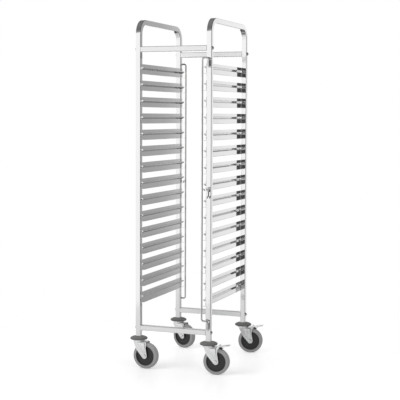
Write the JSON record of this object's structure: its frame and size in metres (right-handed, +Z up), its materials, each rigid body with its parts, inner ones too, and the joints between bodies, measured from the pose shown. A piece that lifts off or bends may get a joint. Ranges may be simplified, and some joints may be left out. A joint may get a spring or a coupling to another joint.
{
  "type": "gastronorm tray trolley",
  "caption": "Tall tubular steel trolley with facing ledges for gastronorm trays, swing-aside retaining rods and swivelling, partly braked castors.",
  "frame": {"origin": "on the floor, midway between the four legs", "axes": "+X across the trolley towards the pictured right side, +Y from the pictured front to the rear, +Z up"},
  "size_m": [0.5069, 0.6, 1.673],
  "materials": {
    "frame_tube": "satin stainless steel tube",
    "rail_sheet": "satin stainless steel sheet",
    "bar_insert": "moulded nylon",
    "bolt_steel": "plain stainless steel",
    "bush_steel": "satin stainless steel",
    "rod_wire": "polished stainless steel wire",
    "latch_plate": "plain stainless steel",
    "castor_zinc": "bright zinc plated pressed steel",
    "bumper_rubber": "dark grey non-marking rubber",
    "tyre_rubber": "grey non-marking rubber",
    "hub_plastic": "dark moulded plastic"
  },
  "bodies": {
    "frame": {"side_frame_left": "frame_tube", "side_frame_right": "frame_tube", "cross_bar_bottom_front": "frame_tube", "cross_bar_bottom_rear": "frame_tube", "cross_bar_top_front": "frame_tube", "cross_bar_top_rear": "frame_tube", "bar_end_inserts": "bar_insert", "frame_bolts": "bolt_steel", "tray_rails_01": "rail_sheet", "tray_rails_02": "rail_sheet", "tray_rails_03": "rail_sheet", "tray_rails_04": "rail_sheet", "tray_rails_05": "rail_sheet", "tray_rails_06": "rail_sheet", "tray_rails_07": "rail_sheet", "tray_rails_08": "rail_sheet", "tray_rails_09": "rail_sheet", "tray_rails_10": "rail_sheet", "tray_rails_11": "rail_sheet", "tray_rails_12": "rail_sheet", "tray_rails_13": "rail_sheet", "tray_rails_14": "rail_sheet", "tray_rails_15": "rail_sheet", "rod_bushes_front": "bush_steel", "latch_catch_front": "bush_steel", "rod_bushes_rear": "bush_steel", "latch_catch_rear": "bush_steel", "castor_stem_front_left": "castor_zinc", "castor_bumper_front_left": "bumper_rubber", "castor_stem_front_right": "castor_zinc", "castor_bumper_front_right": "bumper_rubber", "castor_stem_rear_left": "castor_zinc", "castor_bumper_rear_left": "bumper_rubber", "castor_stem_rear_right": "castor_zinc", "castor_bumper_rear_right": "bumper_rubber"},
    "rod_front": {"retaining_rod_front": "rod_wire"},
    "latch_front": {"latch_fork_front": "latch_plate"},
    "rod_rear": {"retaining_rod_rear": "rod_wire"},
    "latch_rear": {"latch_fork_rear": "latch_plate"},
    "castor_front_left": {"castor_fork_front_left": "castor_zinc", "castor_axle_front_left": "bolt_steel"},
    "wheel_front_left": {"wheel_hub_front_left": "hub_plastic", "wheel_tyre_front_left": "tyre_rubber"},
    "castor_front_right": {"castor_fork_front_right": "castor_zinc", "castor_axle_front_right": "bolt_steel"},
    "wheel_front_right": {"wheel_hub_front_right": "hub_plastic", "wheel_tyre_front_right": "tyre_rubber"},
    "pedal_front_right": {"brake_pedal_front_right": "castor_zinc"},
    "castor_rear_left": {"castor_fork_rear_left": "castor_zinc", "castor_axle_rear_left": "bolt_steel"},
    "wheel_rear_left": {"wheel_hub_rear_left": "hub_plastic", "wheel_tyre_rear_left": "tyre_rubber"},
    "castor_rear_right": {"castor_fork_rear_right": "castor_zinc", "castor_axle_rear_right": "bolt_steel"},
    "wheel_rear_right": {"wheel_hub_rear_right": "hub_plastic", "wheel_tyre_rear_right": "tyre_rubber"},
    "pedal_rear_right": {"brake_pedal_rear_right": "castor_zinc"}
  },
  "joints": [
    {"name": "rod_swing_front", "type": "hinge", "parent": "frame", "child": "rod_front", "pos_m": [0.184, -0.2847, 0.869], "axis": [0, 0, 1], "range_deg": [0, 200]},
    {"name": "latch_swing_front", "type": "hinge", "parent": "frame", "child": "latch_front", "pos_m": [0.1875, -0.29045, 0.869], "axis": [0, 1, 0], "range_deg": [-90, 90]},
    {"name": "rod_swing_rear", "type": "hinge", "parent": "frame", "child": "rod_rear", "pos_m": [-0.184, 0.2847, 0.869], "axis": [0, 0, 1], "range_deg": [0, 200]},
    {"name": "latch_swing_rear", "type": "hinge", "parent": "frame", "child": "latch_rear", "pos_m": [-0.1875, 0.29045, 0.869], "axis": [0, -1, 0], "range_deg": [-90, 90]},
    {"name": "castor_swivel_front_left", "type": "hinge", "parent": "frame", "child": "castor_front_left", "pos_m": [-0.1795, -0.2575, 0.13], "axis": [0, 0, 1], "continuous": true},
    {"name": "wheel_spin_front_left", "type": "hinge", "parent": "castor_front_left", "child": "wheel_front_left", "pos_m": [-0.14102, -0.25884, 0.0625], "axis": [0.0349, 0.9994, 0], "continuous": true},
    {"name": "castor_swivel_front_right", "type": "hinge", "parent": "frame", "child": "castor_front_right", "pos_m": [0.1795, -0.2575, 0.13], "axis": [0, 0, 1], "continuous": true},
    {"name": "wheel_spin_front_right", "type": "hinge", "parent": "castor_front_right", "child": "wheel_front_right", "pos_m": [0.21779, -0.25348, 0.0625], "axis": [-0.1045, 0.9945, 0], "continuous": true},
    {"name": "brake_press_front_right", "type": "hinge", "parent": "castor_front_right", "child": "pedal_front_right", "pos_m": [0.23022, -0.25217, 0.1335], "axis": [-0.1045, 0.9945, 0], "range_deg": [0, 9.5]},
    {"name": "castor_swivel_rear_left", "type": "hinge", "parent": "frame", "child": "castor_rear_left", "pos_m": [-0.1795, 0.2575, 0.13], "axis": [0, 0, 1], "continuous": true},
    {"name": "wheel_spin_rear_left", "type": "hinge", "parent": "castor_rear_left", "child": "wheel_rear_left", "pos_m": [-0.14214, 0.24819, 0.0625], "axis": [0.2419, 0.9703, 0], "continuous": true},
    {"name": "castor_swivel_rear_right", "type": "hinge", "parent": "frame", "child": "castor_rear_right", "pos_m": [0.1795, 0.2575, 0.13], "axis": [0, 0, 1], "continuous": true},
    {"name": "wheel_spin_rear_right", "type": "hinge", "parent": "castor_rear_right", "child": "wheel_rear_right", "pos_m": [0.21716, 0.2655, 0.0625], "axis": [-0.2079, 0.9781, 0], "continuous": true},
    {"name": "brake_press_rear_right", "type": "hinge", "parent": "castor_rear_right", "child": "pedal_rear_right", "pos_m": [0.22939, 0.2681, 0.1335], "axis": [-0.2079, 0.9781, 0], "range_deg": [0, 9.5]}
  ]
}
